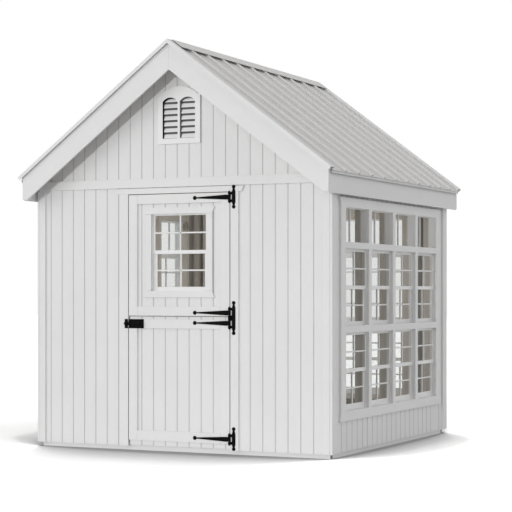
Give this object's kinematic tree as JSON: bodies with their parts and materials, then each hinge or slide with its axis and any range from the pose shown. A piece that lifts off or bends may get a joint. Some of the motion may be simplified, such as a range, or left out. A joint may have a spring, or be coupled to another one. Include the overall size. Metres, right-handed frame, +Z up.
{
  "type": "greenhouse",
  "caption": "White gabled garden greenhouse shed with grooved siding, divided windows in its side and back walls, a split door with strap hinges and a ribbed metal roof.",
  "frame": {"origin": "on the ground at the middle of the floor, under the ridge", "axes": "+X right along the door front, +Y from the door to the back wall, +Z up"},
  "size_m": [2.6594, 2.86, 3.081],
  "materials": {
    "painted_siding": "matt exterior paint",
    "painted_trim": "satin exterior paint",
    "window_plastic": "white window plastic",
    "clear_glass": "clear float glass",
    "bare_lumber": "planed softwood, unpainted",
    "treated_lumber": "pressure treated softwood",
    "floor_ply": "sanded ply floor",
    "roof_ply": "roof board, unpainted",
    "roof_metal": "coated steel sheet",
    "white_flashing": "white coated steel",
    "black_iron": "black powder coat"
  },
  "bodies": {
    "building": {"floor_rims": "treated_lumber", "floor_joists": "treated_lumber", "floor_deck": "floor_ply", "front_siding": "painted_siding", "front_gable_siding": "painted_siding", "back_siding": "painted_siding", "right_siding": "painted_siding", "left_siding": "painted_siding", "wall_plates": "bare_lumber", "wall_studs": "bare_lumber", "window_headers_and_sills": "bare_lumber", "window_stiles": "painted_trim", "window_rails": "painted_trim", "window_frames": "window_plastic", "window_sashes": "window_plastic", "window_glass": "clear_glass", "corner_boards": "painted_trim", "belt_and_header_boards": "painted_trim", "door_casing": "painted_trim", "rafters": "bare_lumber", "ridge_board": "bare_lumber", "roof_deck_right": "roof_ply", "roof_deck_left": "roof_ply", "roof_metal_right": "roof_metal", "roof_metal_left": "roof_metal", "ridge_cap": "roof_metal", "rake_boards": "painted_trim", "gable_flashing": "white_flashing", "fascia_boards": "painted_trim", "eave_drips": "white_flashing", "gable_vent": "painted_trim", "gable_vent_slats": "painted_trim", "casing_ironwork": "black_iron"},
    "upper_door": {"upper_door_boards": "painted_siding", "upper_door_trim": "painted_trim", "upper_door_window": "window_plastic", "upper_door_glass": "clear_glass", "upper_door_straps": "black_iron"},
    "lower_door": {"lower_door_boards": "painted_siding", "lower_door_trim": "painted_trim", "lower_door_ironwork": "black_iron"}
  },
  "joints": [
    {"name": "upper_door_hinge", "type": "hinge", "parent": "building", "child": "upper_door", "pos_m": [0.43142, -1.26136, 1.47955], "axis": [0, 0, 1], "range_deg": [0, 110]},
    {"name": "lower_door_hinge", "type": "hinge", "parent": "building", "child": "lower_door", "pos_m": [0.43142, -1.26136, 0.5334], "axis": [0, 0, 1], "range_deg": [0, 110]}
  ]
}
